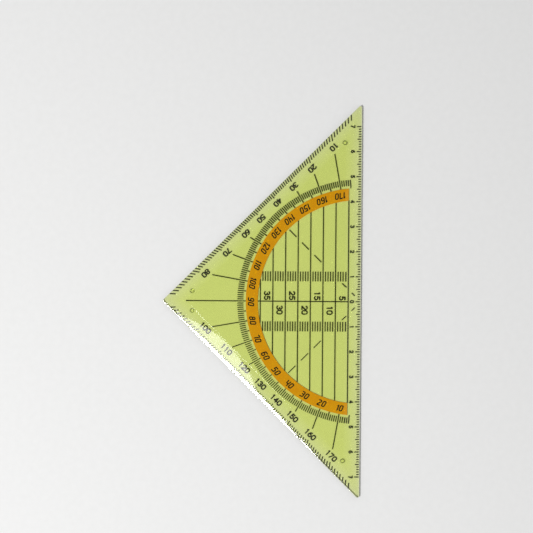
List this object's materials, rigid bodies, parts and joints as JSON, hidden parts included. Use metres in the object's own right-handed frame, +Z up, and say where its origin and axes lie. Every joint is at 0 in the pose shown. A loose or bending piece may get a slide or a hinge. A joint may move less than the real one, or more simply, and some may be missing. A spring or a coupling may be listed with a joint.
{
  "type": "drafting triangle",
  "caption": "Clear yellow-green right-angled set square with bevelled edges, a centimetre ruler, a protractor and parallel lines printed on its underside.",
  "frame": {"origin": "the zero mark: the middle of the ruling edge, on the surface that the nubs stand on", "axes": "+X along the ruling edge, +Y from the ruling edge to the right-angled tip, +Z up through the plate, away from the print"},
  "size_m": [0.1564, 0.0788, 0.0024],
  "materials": {
    "clear_plastic": "clear, glossy, tinted yellow-green",
    "orange_ink": "half-clear screen-printed ink",
    "black_ink": "opaque screen-printed ink"
  },
  "bodies": {
    "root": {"plate": "clear_plastic", "degree_band": "orange_ink", "ruler_ticks": "black_ink", "protractor_ticks": "black_ink", "angle_pointers": "black_ink", "right_leg_ticks": "black_ink", "left_leg_ticks": "black_ink", "parallel_lines": "black_ink", "centre_line": "black_ink", "millimetre_rows": "black_ink", "diagonal_dashes": "black_ink"}
  },
  "joints": []
}
